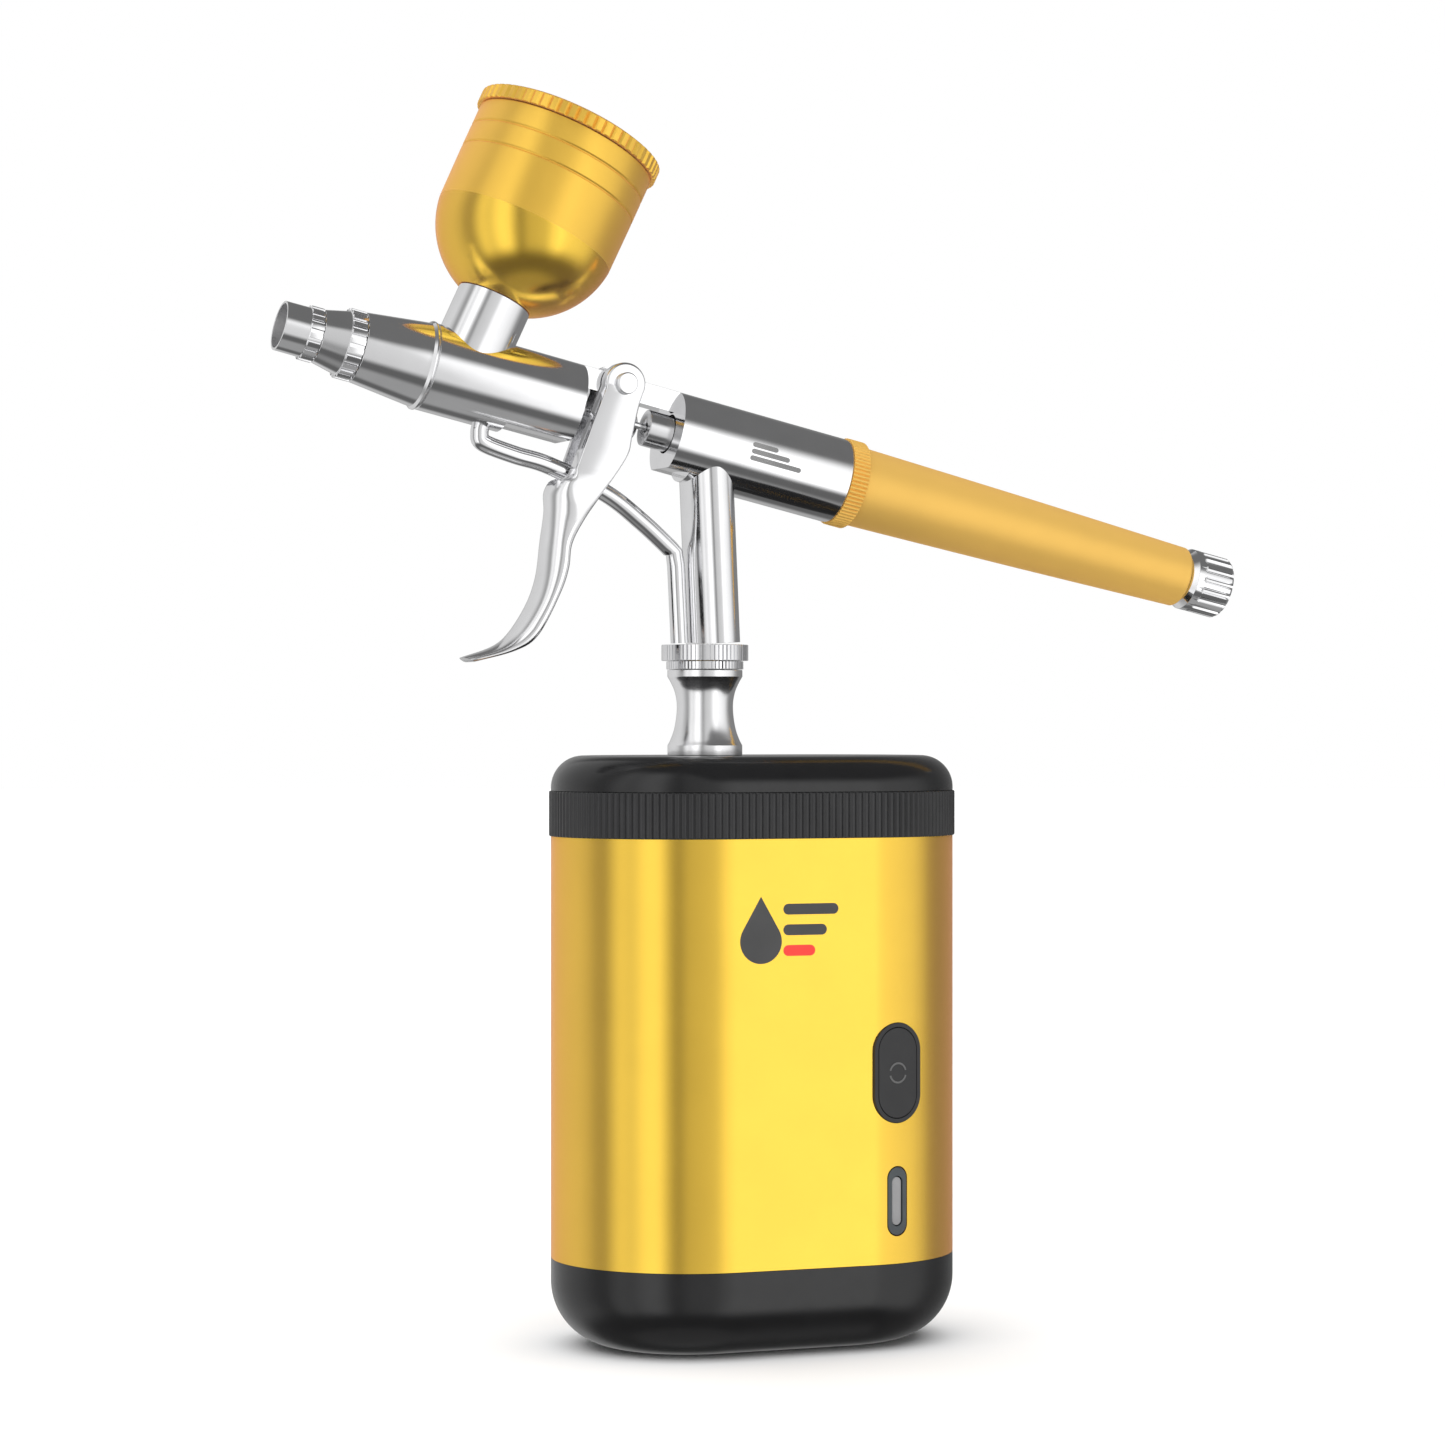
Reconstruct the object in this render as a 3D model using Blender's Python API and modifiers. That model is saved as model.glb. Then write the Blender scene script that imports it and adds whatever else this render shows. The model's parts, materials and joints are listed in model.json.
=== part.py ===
"""Cordless airbrush: a trigger airbrush with a gravity cup, standing on its palm-sized compressor.

Lengths below are millimetres; MM turns them into Blender's metres when a mesh is made.
World frame: origin under the middle of the compressor, +Z up, front (button, port) faces -Y,
and the gun lies in the plane Y = 0 with its nozzle towards -X.
"""

import math

import bmesh
import bpy
from mathutils import Matrix, Vector

MM = 0.001
GAP = 0.3

# Compressor: an oblong with round ends, in plan.
HALF_STRAIGHT = 12.85
END_R = 24.3
WALL = 1.6
INNER_R = END_R - WALL
LIP_R = INNER_R - GAP
LIP_WALL = 1.5
BOTTOM_FILLET = 11.5
TOP_FILLET = 5.7
FOOT_STANDOFF = 0.1
SHELL_LOW = 15.7
SHELL_HIGH = 90.75
BAND_HIGH = 98.8
COMPRESSOR_HIGH = 105.1
BAND_PROUD = 0.35
OBLONG_STEPS = 36

# Front controls sit on the right-hand round end, turned a little from the front.
FRONT_TURN = math.radians(12.0)
BUTTON_Z = 49.3
PORT_Z = 26.7

# The pump and the vertical outlet share one axis.
OUTLET_X = -9.3

# Airbrush: station 0 is the front face of its rear barrel, stations run rearwards.
BARREL_TILT = math.radians(13.25)
BARREL_ORIGIN = (-16.46, 0.0, 162.5)
BARREL_R = 7.75
BRIDGE_FRONT = -18.7
BRIDGE_HALF = 2.15
BRIDGE_LOW = 3.7
FLAT_N = -6.35
FLAT_FRONT = -31.0
BODY_FRONT = -46.5
BODY_REAR = 33.2
BORE_R = 4.7
NEEDLE_R = 0.6

# Trigger, in barrel coordinates (station, height above the barrel's axis). Its far arm carries
# the round lobe that pushes the needle slider back.
PIVOT = (-11.3, 5.9)
EAR_R = 3.7
ARM_INNER = 2.45
ARM_OUTER = 4.9
LOBE = (-9.3, 0.0)
LOBE_R = 4.35

# Grip stem and the air pipe in front of it.
STEM_LEAN = math.radians(-2.5)
STEM_FOOT = (-7.75, 0.0, 125.2)
STEM_R = 4.57
STEM_DEPTH = 1.42
PIPE_R = 1.6

# Gravity cup, measured up its own axis from the barrel's axis.
CUP_LEAN = math.radians(25.2)
CUP_BASE = (-55.34, 0.0, 171.53)
NECK_R = 6.7
THROAT_R = 4.4
CUP_R = 16.4
CUP_CENTRE = 29.9
NECK_HIGH = 15.4
CUP_RIM = 45.8
LID_LOW = 46.1
LID_HIGH = 49.7
LID_R = 17.1

FRONT = Matrix.Translation((HALF_STRAIGHT * MM, 0, 0)) @ Matrix.Rotation(FRONT_TURN, 4, "Z")
FRONT_PLATE = FRONT @ Matrix.Rotation(math.pi / 2, 4, "X")
OUTLET = Matrix.Translation((OUTLET_X * MM, 0, 0))
BARREL = Matrix.Translation(Vector(BARREL_ORIGIN) * MM) @ Matrix.Rotation(BARREL_TILT, 4, "Y")
BARREL_AXIS = BARREL @ Matrix.Rotation(math.pi / 2, 4, "Y")
BARREL_SIDE = BARREL @ Matrix.Rotation(math.pi / 2, 4, "X")
STEM = Matrix.Translation(Vector(STEM_FOOT) * MM) @ Matrix.Rotation(STEM_LEAN, 4, "Y")
STEM = STEM @ Matrix.Diagonal((1.0, STEM_DEPTH, 1.0, 1.0))
CUP = Matrix.Translation(Vector(CUP_BASE) * MM) @ Matrix.Rotation(CUP_LEAN, 4, "Y")


def clear_scene():
    for obj in list(bpy.data.objects):
        bpy.data.objects.remove(obj, do_unlink=True)


def new_collection(name):
    collection = bpy.data.collections.new(name)
    bpy.context.scene.collection.children.link(collection)
    return collection


def new_material(name, colour, metallic, roughness):
    material = bpy.data.materials.new(name)
    material.use_nodes = True
    shader = material.node_tree.nodes["Principled BSDF"]
    shader.inputs["Base Color"].default_value = (*colour, 1.0)
    shader.inputs["Metallic"].default_value = metallic
    shader.inputs["Roughness"].default_value = roughness
    return material


clear_scene()
PARTS = new_collection("cordless_airbrush")
CUTTERS = new_collection("cutters")
CUTTERS.hide_render = True

FINISHES = {
    "gold": ((0.78, 0.52, 0.18), 1.0, 0.25),
    "satin_gold": ((0.74, 0.48, 0.19), 1.0, 0.4),
    "chrome": ((0.82, 0.82, 0.83), 1.0, 0.08),
    "steel": ((0.6, 0.6, 0.62), 1.0, 0.3),
    "brass": ((0.75, 0.58, 0.28), 1.0, 0.3),
    "gloss_black": ((0.02, 0.02, 0.022), 0.0, 0.12),
    "ribbed_black": ((0.03, 0.03, 0.032), 0.0, 0.4),
    "grey_plastic": ((0.25, 0.25, 0.26), 0.0, 0.5),
    "white_plastic": ((0.8, 0.8, 0.78), 0.0, 0.4),
    "rubber": ((0.03, 0.03, 0.03), 0.0, 0.85),
    "cell_wrap": ((0.1, 0.25, 0.5), 0.0, 0.4),
    "board_green": ((0.03, 0.2, 0.08), 0.0, 0.5),
}


def add_object(name, data, frame, finish):
    """Links one sub-part with its own material, placed by its frame."""
    obj = bpy.data.objects.new(name, data)
    obj.matrix_world = frame
    obj.data.materials.append(new_material(name, *FINISHES[finish]))
    PARTS.objects.link(obj)
    return obj


def add_cutter(name, data, frame):
    obj = bpy.data.objects.new(name, data)
    obj.matrix_world = frame
    obj.display_type = "WIRE"
    obj.hide_render = True
    CUTTERS.objects.link(obj)
    return obj


def combine(obj, other, operation):
    """Adds an exact Boolean of obj with other, which becomes a hidden helper."""
    modifier = obj.modifiers.new(operation.lower(), "BOOLEAN")
    modifier.operation = operation
    modifier.object = other


def smooth(mesh):
    mesh.shade_smooth()
    mesh.set_sharp_from_angle(angle=math.radians(35))


def downwards(profile):
    """Orders (radius, height) points so that the outer side runs from top to bottom."""
    area = 0.0
    for (r0, z0), (r1, z1) in zip(profile, profile[1:] + profile[:1]):
        area += r0 * z1 - r1 * z0
    return profile if area < 0 else profile[::-1]


def profile_mesh(name, profile, closed):
    mesh = bpy.data.meshes.new(name)
    points = [(r * MM, 0.0, z * MM) for r, z in downwards(profile)]
    edges = [(i, i + 1) for i in range(len(points) - 1)]
    if closed:
        edges.append((len(points) - 1, 0))
    mesh.from_pydata(points, edges, [])
    return mesh


def add_screw(obj, steps):
    screw = obj.modifiers.new("turn", "SCREW")
    screw.steps = steps
    screw.render_steps = steps
    screw.use_merge_vertices = True
    screw.merge_threshold = 0.00001
    screw.use_smooth_shade = True


def turned(name, profile, frame, finish, steps=24, hollow=False):
    """A turned solid: its profile ends on the axis, or is a closed loop when hollow."""
    obj = add_object(name, profile_mesh(name, profile, hollow), frame, finish)
    add_screw(obj, steps)
    return obj


def turned_cutter(name, profile, frame, steps=24):
    obj = add_cutter(name, profile_mesh(name, profile, False), frame)
    add_screw(obj, steps)
    return obj


def rod_profile(radius, low, high):
    return [(0, high), (radius, high), (radius, low), (0, low)]


def ring_profile(inner, outer, low, high):
    return [(inner, high), (outer, high), (outer, low), (inner, low)]


def arc(centre, radius, start, end, pieces):
    """Points on an arc, angles in degrees from the first axis."""
    points = []
    for i in range(pieces + 1):
        angle = math.radians(start + (end - start) * i / pieces)
        points.append((centre[0] + radius * math.cos(angle), centre[1] + radius * math.sin(angle)))
    return points


def box_mesh(name, low, high):
    mesh = bpy.data.meshes.new(name)
    bm = bmesh.new()
    bmesh.ops.create_cube(bm, size=1.0)
    for vert in bm.verts:
        for axis in range(3):
            vert.co[axis] = (high[axis] if vert.co[axis] > 0 else low[axis]) * MM
    bm.to_mesh(mesh)
    bm.free()
    return mesh


def oblong_mesh(name, profile, closed):
    """Spins a profile into a round solid, then pulls its halves apart along X."""
    bm = bmesh.new()
    verts = [bm.verts.new((r * MM, 0, z * MM)) for r, z in downwards(profile)]
    edges = [bm.edges.new(pair) for pair in zip(verts, verts[1:])]
    if closed:
        edges.append(bm.edges.new((verts[-1], verts[0])))
    half_step = Matrix.Rotation(math.pi / OBLONG_STEPS, 3, "Z")
    bmesh.ops.rotate(bm, verts=verts, cent=(0, 0, 0), matrix=half_step)
    bmesh.ops.spin(
        bm, geom=verts + edges, cent=(0, 0, 0), axis=(0, 0, 1), angle=2 * math.pi, steps=OBLONG_STEPS
    )
    bmesh.ops.remove_doubles(bm, verts=bm.verts, dist=0.00001)
    for vert in bm.verts:
        vert.co.x += math.copysign(HALF_STRAIGHT * MM, vert.co.x)
    rims = [edge for edge in bm.edges if edge.is_boundary]
    bmesh.ops.holes_fill(bm, edges=rims, sides=0)
    bmesh.ops.recalc_face_normals(bm, faces=bm.faces)
    mesh = bpy.data.meshes.new(name)
    bm.to_mesh(mesh)
    bm.free()
    smooth(mesh)
    return mesh


def plate_mesh(name, outlines, low, high):
    """A flat plate with the first outline as its edge and the others as holes."""
    curve = bpy.data.curves.new(name, "CURVE")
    curve.dimensions = "2D"
    curve.fill_mode = "BOTH"
    curve.extrude = (high - low) / 2 * MM
    for outline in outlines:
        spline = curve.splines.new("POLY")
        spline.points.add(len(outline) - 1)
        for point, (x, y) in zip(spline.points, outline):
            point.co = (x * MM, y * MM, 0.0, 1.0)
        spline.use_cyclic_u = True
    guide = add_cutter(name + "_guide", curve, Matrix.Identity(4))
    bpy.context.view_layer.update()
    graph = bpy.context.evaluated_depsgraph_get()
    mesh = bpy.data.meshes.new_from_object(guide.evaluated_get(graph))
    bpy.data.objects.remove(guide)
    bm = bmesh.new()
    bm.from_mesh(mesh)
    bmesh.ops.remove_doubles(bm, verts=bm.verts, dist=0.000001)
    bmesh.ops.recalc_face_normals(bm, faces=bm.faces)
    bmesh.ops.translate(bm, verts=bm.verts, vec=(0, 0, (low + high) / 2 * MM))
    bm.to_mesh(mesh)
    bm.free()
    return mesh


def stadium(width, height, pieces=8):
    """An upright oval with straight sides, centred on the origin."""
    radius = width / 2
    reach = height / 2 - radius
    top = arc((0, reach), radius, 0, 180, pieces)
    return top + arc((0, -reach), radius, 180, 360, pieces)


def moved(outline, dx, dy):
    return [(x + dx, y + dy) for x, y in outline]


def tube(name, points, radius, frame, finish, resolution=3):
    """A round bar along a chain of points."""
    curve = bpy.data.curves.new(name, "CURVE")
    curve.dimensions = "3D"
    curve.bevel_depth = radius * MM
    curve.bevel_resolution = resolution
    curve.use_fill_caps = True
    spline = curve.splines.new("POLY")
    spline.points.add(len(points) - 1)
    for point, place in zip(spline.points, points):
        point.co = (*(Vector(place) * MM), 1.0)
    return add_object(name, curve, frame, finish)


def smooth_route(corners, pieces):
    """Points of a Catmull-Rom curve through the corners."""
    ends = [corners[0] * 2 - corners[1]] + corners + [corners[-1] * 2 - corners[-2]]
    route = []
    for a, b, c, d in zip(ends, ends[1:], ends[2:], ends[3:]):
        for i in range(pieces):
            t = i / pieces
            route.append(
                0.5 * (2 * b + (c - a) * t + (2 * a - 5 * b + 4 * c - d) * t**2)
                + 0.5 * (3 * b - a - 3 * c + d) * t**3
            )
    return route + [corners[-1]]


# ---------------------------------------------------------------- compressor casing


def make_bottom_cap():
    lip_inner = LIP_R - LIP_WALL
    profile = [
        (6.0, 4.8), (14.0, 4.8), (lip_inner, 11.0), (lip_inner, 19.0), (LIP_R, 19.0),
        (LIP_R, SHELL_LOW - GAP / 2), (END_R, SHELL_LOW - GAP / 2),
    ]
    fillet_centre = (END_R - BOTTOM_FILLET, BOTTOM_FILLET + FOOT_STANDOFF)
    profile += arc(fillet_centre, BOTTOM_FILLET, 0, -90, 5)
    profile += [(9.8, FOOT_STANDOFF), (9.8, 3.1), (6.0, 3.1)]
    cap = add_object("bottom_cap", oblong_mesh("bottom_cap", profile, False), Matrix(), "gloss_black")
    for side in (-1, 1):
        place = Matrix.Translation((9.2 * MM, 7.0 * side * MM, 0))
        hole = turned_cutter("cap_screw_hole", rod_profile(1.3, 1.0, 8.0), place, 12)
        combine(cap, hole, "DIFFERENCE")


def make_foot_pad():
    profile = [(5.0, 1.6), (9.5, 1.6), (9.5, 0.4), (9.1, 0.0), (5.0, 0.0)]
    add_object("foot_pad", oblong_mesh("foot_pad", profile, False), Matrix(), "rubber")


def make_case_screws():
    profile = [(0, 10.0), (1.0, 10.0), (1.0, 2.8), (2.3, 2.8), (2.3, 1.9), (0, 1.9)]
    for index, side in enumerate((-1, 1), 1):
        place = Matrix.Translation((9.2 * MM, 7.0 * side * MM, 0))
        turned(f"case_screw_{index}", profile, place, "steel", 12)


def make_shell():
    low = SHELL_LOW + GAP / 2
    high = SHELL_HIGH - GAP / 2
    mesh = oblong_mesh("shell", ring_profile(INNER_R, END_R, low, high), True)
    shell = add_object("shell", mesh, Matrix(), "gold")
    windows = (("button_window", (10.3, 18.1), BUTTON_Z), ("port_window", (4.6, 12.7), PORT_Z))
    for name, size, height in windows:
        window = plate_mesh(name, [moved(stadium(*size), 0, height)], INNER_R - 3, END_R + 3)
        combine(shell, add_cutter(name, window, FRONT_PLATE), "DIFFERENCE")


def make_ribbed_band():
    profile = ring_profile(INNER_R, END_R + BAND_PROUD, SHELL_HIGH + GAP / 2, BAND_HIGH - GAP / 2)
    add_object("ribbed_band", oblong_mesh("ribbed_band", profile, True), Matrix(), "ribbed_black")


def make_top_cap():
    lip_inner = LIP_R - LIP_WALL
    profile = [(6.0, COMPRESSOR_HIGH)]
    fillet_centre = (END_R - TOP_FILLET, COMPRESSOR_HIGH - TOP_FILLET)
    profile += arc(fillet_centre, TOP_FILLET, 90, 0, 4)
    profile += [
        (END_R, BAND_HIGH + GAP / 2), (LIP_R, BAND_HIGH + GAP / 2), (LIP_R, 94.0),
        (lip_inner, 94.0), (lip_inner, 100.5), (18.0, 102.9), (6.0, 102.9),
    ]
    cap = add_object("top_cap", oblong_mesh("top_cap", profile, False), Matrix(), "gloss_black")
    hole = turned_cutter("outlet_hole", rod_profile(3.3, 95.0, 110.0), OUTLET, 24)
    combine(cap, hole, "DIFFERENCE")


def make_controls():
    bezel = [moved(stadium(9.7, 17.5), 0, BUTTON_Z), moved(stadium(8.3, 16.1), 0, BUTTON_Z)]
    add_object("button_bezel", plate_mesh("bezel", bezel, 22.4, 24.3), FRONT_PLATE, "grey_plastic")
    cap = [moved(stadium(7.7, 15.5), 0, BUTTON_Z)]
    button = add_object("power_button", plate_mesh("button", cap, 22.4, 24.35), FRONT_PLATE, "gloss_black")
    pusher = FRONT_PLATE @ Matrix.Translation((0, BUTTON_Z * MM, 0))
    combine(button, turned_cutter("button_pusher", rod_profile(1.4, 21.7, 23.0), pusher, 12), "UNION")
    frame = [moved(stadium(4.0, 12.1), 0, PORT_Z), moved(stadium(3.1, 9.0), 0, PORT_Z)]
    add_object("port_frame", plate_mesh("port_frame", frame, 22.9, 24.2), FRONT_PLATE, "gloss_black")
    switch = box_mesh("switch", (-3.0, -20.6, BUTTON_Z - 3.0), (3.0, -19.0, BUTTON_Z + 3.0))
    switch = add_object("tact_switch", switch, FRONT, "steel")
    combine(switch, turned_cutter("switch_stem", rod_profile(1.6, 20.0, 20.9), pusher, 12), "UNION")
    socket = plate_mesh("socket", [moved(stadium(3.26, 8.94), 0, PORT_Z)], 19.0, 22.6)
    socket = add_object("usb_socket", socket, FRONT_PLATE, "steel")
    mouth = plate_mesh("mouth", [moved(stadium(2.6, 8.3), 0, PORT_Z)], 19.5, 24.0)
    combine(socket, add_cutter("usb_mouth", mouth, FRONT_PLATE), "DIFFERENCE")
    tongue = box_mesh("tongue", (-0.35, -22.4, PORT_Z - 3.3), (0.35, -19.8, PORT_Z + 3.3))
    add_object("usb_tongue", tongue, FRONT, "grey_plastic")
    board = box_mesh("board", (-10.5, -18.7, 20.5), (10.5, -17.5, 84.0))
    add_object("circuit_board", board, FRONT, "board_green")


def make_chassis():
    """A shelf under the motor and the cell, and a wall between them on two screw bosses."""
    shelf = box_mesh("shelf", (-26.0, -12.0, 16.7), (28.0, 12.0, 19.7))
    chassis = add_object("chassis", shelf, Matrix(), "grey_plastic")
    wall = box_mesh("wall", (8.2, -15.5, 17.5), (10.2, 15.5, 86.0))
    combine(chassis, add_cutter("chassis_wall", wall, Matrix()), "UNION")
    for side in (-1, 1):
        place = Matrix.Translation((9.2 * MM, 7.0 * side * MM, 0))
        combine(chassis, turned_cutter("boss", rod_profile(3.0, 5.1, 18.0), place, 16), "UNION")
    for side in (-1, 1):
        place = Matrix.Translation((9.2 * MM, 7.0 * side * MM, 0))
        combine(chassis, turned_cutter("boss_hole", rod_profile(1.3, 4.0, 11.0), place, 12), "DIFFERENCE")


def make_battery():
    profile = [(0, 84.6), (2.8, 84.6), (2.8, 83.4), (8.6, 83.4), (9.1, 82.8), (9.1, 20.4), (8.6, 20.0)]
    place = Matrix.Translation((21.0 * MM, 6.0 * MM, 0))
    turned("battery_cell", profile + [(0, 20.0)], place, "cell_wrap")


# ---------------------------------------------------------------- pump


def make_motor():
    can = [
        (0, 38.0), (1.45, 38.0), (1.45, 52.3), (3.0, 52.3), (3.0, 51.0), (11.2, 51.0), (12.0, 50.2),
        (12.0, 21.0), (11.2, 20.1), (0, 20.1),
    ]
    turned("motor_can", can, OUTLET, "steel", 20)
    turned("motor_shaft", rod_profile(1.1, 38.4, 57.0), OUTLET, "steel", 12)
    wheel = [(0, 58.4), (5.6, 58.4), (6.0, 58.0), (6.0, 53.4), (1.4, 53.4), (1.4, 57.4), (0, 57.4)]
    wheel = turned("eccentric_wheel", wheel, OUTLET, "white_plastic", 24)
    lean = Matrix.Rotation(math.radians(-9), 4, "Y")
    pin_place = OUTLET @ Matrix.Translation((1.7 * MM, 0, 58.0 * MM)) @ lean
    seat = turned_cutter("pin_seat", rod_profile(1.1, -2.0, 3.0), pin_place, 12)
    combine(wheel, seat, "DIFFERENCE")
    turned("drive_pin", rod_profile(0.8, -1.5, 5.0), pin_place, "steel", 12)


def make_wobble_plate():
    profile = [(0, 65.0), (8.8, 65.0), (8.8, 63.6), (3.8, 63.6), (3.8, 59.6), (2.8, 59.6), (2.8, 63.8)]
    turned("wobble_plate", profile + [(0, 63.8)], OUTLET, "white_plastic")


def make_pump():
    housing = [
        (11.2, 70.6), (14.2, 70.6), (14.2, 52.6), (13.4, 51.4), (3.6, 51.4), (3.6, 52.9), (11.2, 52.9),
    ]
    housing = turned("pump_housing", housing, OUTLET, "grey_plastic", hollow=True)
    diaphragm = turned("diaphragm", rod_profile(10.9, 67.4, 68.6), OUTLET, "rubber", 24)
    plate = turned("valve_plate", rod_profile(14.2, 70.9, 72.6), OUTLET, "white_plastic", 20)
    head = [
        (1.2, 86.0), (2.2, 86.0), (2.2, 78.2), (9.5, 78.2), (14.2, 75.6), (14.2, 72.9), (1.2, 72.9),
    ]
    head = turned("pump_head", head, OUTLET, "grey_plastic", hollow=True)
    port = turned_cutter("plate_port", rod_profile(1.2, 70.0, 74.0), OUTLET, 12)
    combine(plate, port, "DIFFERENCE")
    for index in range(3):
        spoke = OUTLET @ Matrix.Rotation(math.radians(60 + 120 * index), 4, "Z")
        cup_place = spoke @ Matrix.Translation((5.6 * MM, 0, 0))
        combine(diaphragm, turned_cutter("pump_cup", rod_profile(3.2, 66.2, 68.0), cup_place, 14), "UNION")
        screw_place = spoke @ Matrix.Translation((12.6 * MM, 0, 0))
        hole = turned_cutter("head_screw_hole", rod_profile(1.2, 62.0, 80.0), screw_place, 10)
        for piece in (housing, plate, head):
            combine(piece, hole, "DIFFERENCE")
        screw = [(0, 79.4), (1.9, 79.4), (1.9, 78.5), (0.9, 78.5), (0.9, 62.6), (0, 62.6)]
        turned(f"head_screw_{index + 1}", screw, screw_place, "steel", 10)


def make_outlet():
    hose = ring_profile(2.5, 3.7, 79.0, 97.6)
    turned("outlet_hose", hose, OUTLET, "rubber", 16, hollow=True)
    fitting = [
        (1.0, 112.0), (3.0, 112.0), (3.0, 102.6), (5.5, 102.6), (5.5, 98.4), (2.2, 98.4), (2.2, 89.0),
        (1.0, 89.0),
    ]
    turned("outlet_fitting", fitting, OUTLET, "brass", 24, hollow=True)
    spool = [
        (2.0, 120.3), (6.73, 120.3), (6.73, 119.2), (5.6, 116.8), (5.04, 114.0), (5.5, 109.4), (6.7, 106.9),
        (6.7, 105.4), (3.3, 105.4), (3.3, 112.4), (2.0, 112.4),
    ]
    turned("outlet_coupling", spool, OUTLET, "chrome", hollow=True)
    turned("lock_ring", ring_profile(3.4, 6.9, 120.6, 121.9), OUTLET, "chrome", hollow=True)
    turned("coupling_nut", ring_profile(3.4, 7.78, 122.2, 124.9), OUTLET, "chrome", hollow=True)
    stud = ring_profile(1.2, 3.0, 120.8, 124.9)
    turned("inlet_stud", stud, OUTLET, "brass", 20, hollow=True)


# ---------------------------------------------------------------- airbrush body


def make_gun_body():
    outline = [(0.9, BODY_FRONT), (BARREL_R, BODY_FRONT), (BARREL_R, BODY_REAR), (5.9, BODY_REAR)]
    outline += [(5.9, 41.0)]
    bore = [(BORE_R, 41.0), (BORE_R, 3.0), (3.6, 3.0), (3.6, -2.0), (0.9, -2.0)]
    body = turned("gun_body", outline + bore, BARREL_AXIS, "chrome", hollow=True)
    reach = BARREL_R + 2
    gap_boxes = (
        ("gap_low", (BRIDGE_FRONT, -reach, -reach), (0.0, reach, BRIDGE_LOW)),
        ("gap_near", (BRIDGE_FRONT, -reach, BRIDGE_LOW - 1), (0.0, -BRIDGE_HALF, reach)),
        ("gap_far", (BRIDGE_FRONT, BRIDGE_HALF, BRIDGE_LOW - 1), (0.0, reach, reach)),
        ("under_flat_front", (FLAT_FRONT, -reach, -reach), (BRIDGE_FRONT + 1, reach, FLAT_N)),
        ("under_flat_rear", (-1.0, -reach, -reach), (4.0, reach, FLAT_N)),
    )
    for name, low, high in gap_boxes:
        combine(body, add_cutter(name, box_mesh(name, low, high), BARREL), "DIFFERENCE")
    pivot_place = BARREL_SIDE @ Matrix.Translation((PIVOT[0] * MM, PIVOT[1] * MM, 0))
    combine(body, turned_cutter("pivot_bore", rod_profile(1.5, -9.0, 9.0), pivot_place, 16), "DIFFERENCE")
    paint_way = turned_cutter("paint_way", rod_profile(3.8, 0.0, 14.0), CUP, 16)
    combine(body, paint_way, "DIFFERENCE")
    packing_room = turned_cutter("packing_room", rod_profile(2.3, -25.0, -17.0), BARREL_AXIS, 16)
    combine(body, packing_room, "DIFFERENCE")


def make_stem():
    stem = turned("grip_stem", ring_profile(1.2, STEM_R, 0, 33.0), STEM, "chrome", hollow=True)
    saddle = turned_cutter("stem_saddle", rod_profile(BARREL_R + GAP, -25.0, 50.0), BARREL_AXIS)
    combine(stem, saddle, "DIFFERENCE")


def make_air_pipe():
    """From the barrel's underside, under the trigger gap, then down the front of the stem."""
    corners = [
        (-34.2, -8.2), (-33.4, -10.1), (-27.0, -10.9), (-20.5, -11.1), (-9.1, -13.2), (-1.15, -16.5),
        (6.1, -20.3),
    ]
    bend = smooth_route([Vector((s, 0, n)) for s, n in corners], 3)
    foot = Vector((10.73, 0, -35.5))
    tube("air_pipe", bend + [foot], PIPE_R, BARREL, "chrome", 3)


def make_trigger():
    ear = arc(PIVOT, EAR_R, 160, 0, 8)
    rear = [
        (-7.9, 2.5), (-7.9, -3.0), (-8.0, -6.5), (-10.5, -13.0), (-13.2, -20.0), (-14.2, -24.2),
        (-13.8, -28.3), (-14.4, -33.1),
    ]
    tip = [(-16.7, -41.2), (-20.0, -44.7), (-26.5, -48.5), (-28.5, -48.0), (-23.0, -44.5), (-20.5, -41.1)]
    front = [
        (-18.5, -35.5), (-18.0, -30.6), (-18.6, -25.0), (-19.2, -19.3), (-20.0, -16.0), (-19.3, -13.6),
        (-18.2, -12.8), (-17.3, -11.0), (-16.2, -3.0),
    ]
    mesh = plate_mesh("trigger", [ear + rear + tip + front], -ARM_OUTER, ARM_OUTER)
    trigger = add_object("trigger", mesh, BARREL_SIDE, "chrome")
    slot = [(-30.0, 14.0), (-30.0, -14.6), (-19.5, -14.6), (-12.0, -21.5), (0.0, -21.5), (0.0, 14.0)]
    slot = add_cutter("trigger_slot", plate_mesh("slot", [slot], -ARM_INNER, ARM_INNER), BARREL_SIDE)
    combine(trigger, slot, "DIFFERENCE")
    lobe_place = BARREL_SIDE @ Matrix.Translation((LOBE[0] * MM, LOBE[1] * MM, 0))
    lobe = turned_cutter("push_lobe", rod_profile(LOBE_R, -ARM_OUTER, -ARM_INNER), lobe_place)
    combine(trigger, lobe, "UNION")
    pivot_place = BARREL_SIDE @ Matrix.Translation((PIVOT[0] * MM, PIVOT[1] * MM, 0))
    combine(trigger, turned_cutter("ear_bore", rod_profile(1.5, -9.0, 9.0), pivot_place, 16), "DIFFERENCE")
    head = ARM_OUTER + GAP
    pin = [(0, head + 0.8), (1.94, head + 0.8), (1.94, head), (1.2, head), (1.2, -head), (1.94, -head)]
    pin += [(1.94, -head - 0.8), (0, -head - 0.8)]
    turned("pivot_pin", pin, pivot_place, "chrome", 16)


# ---------------------------------------------------------------- spray end


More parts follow.
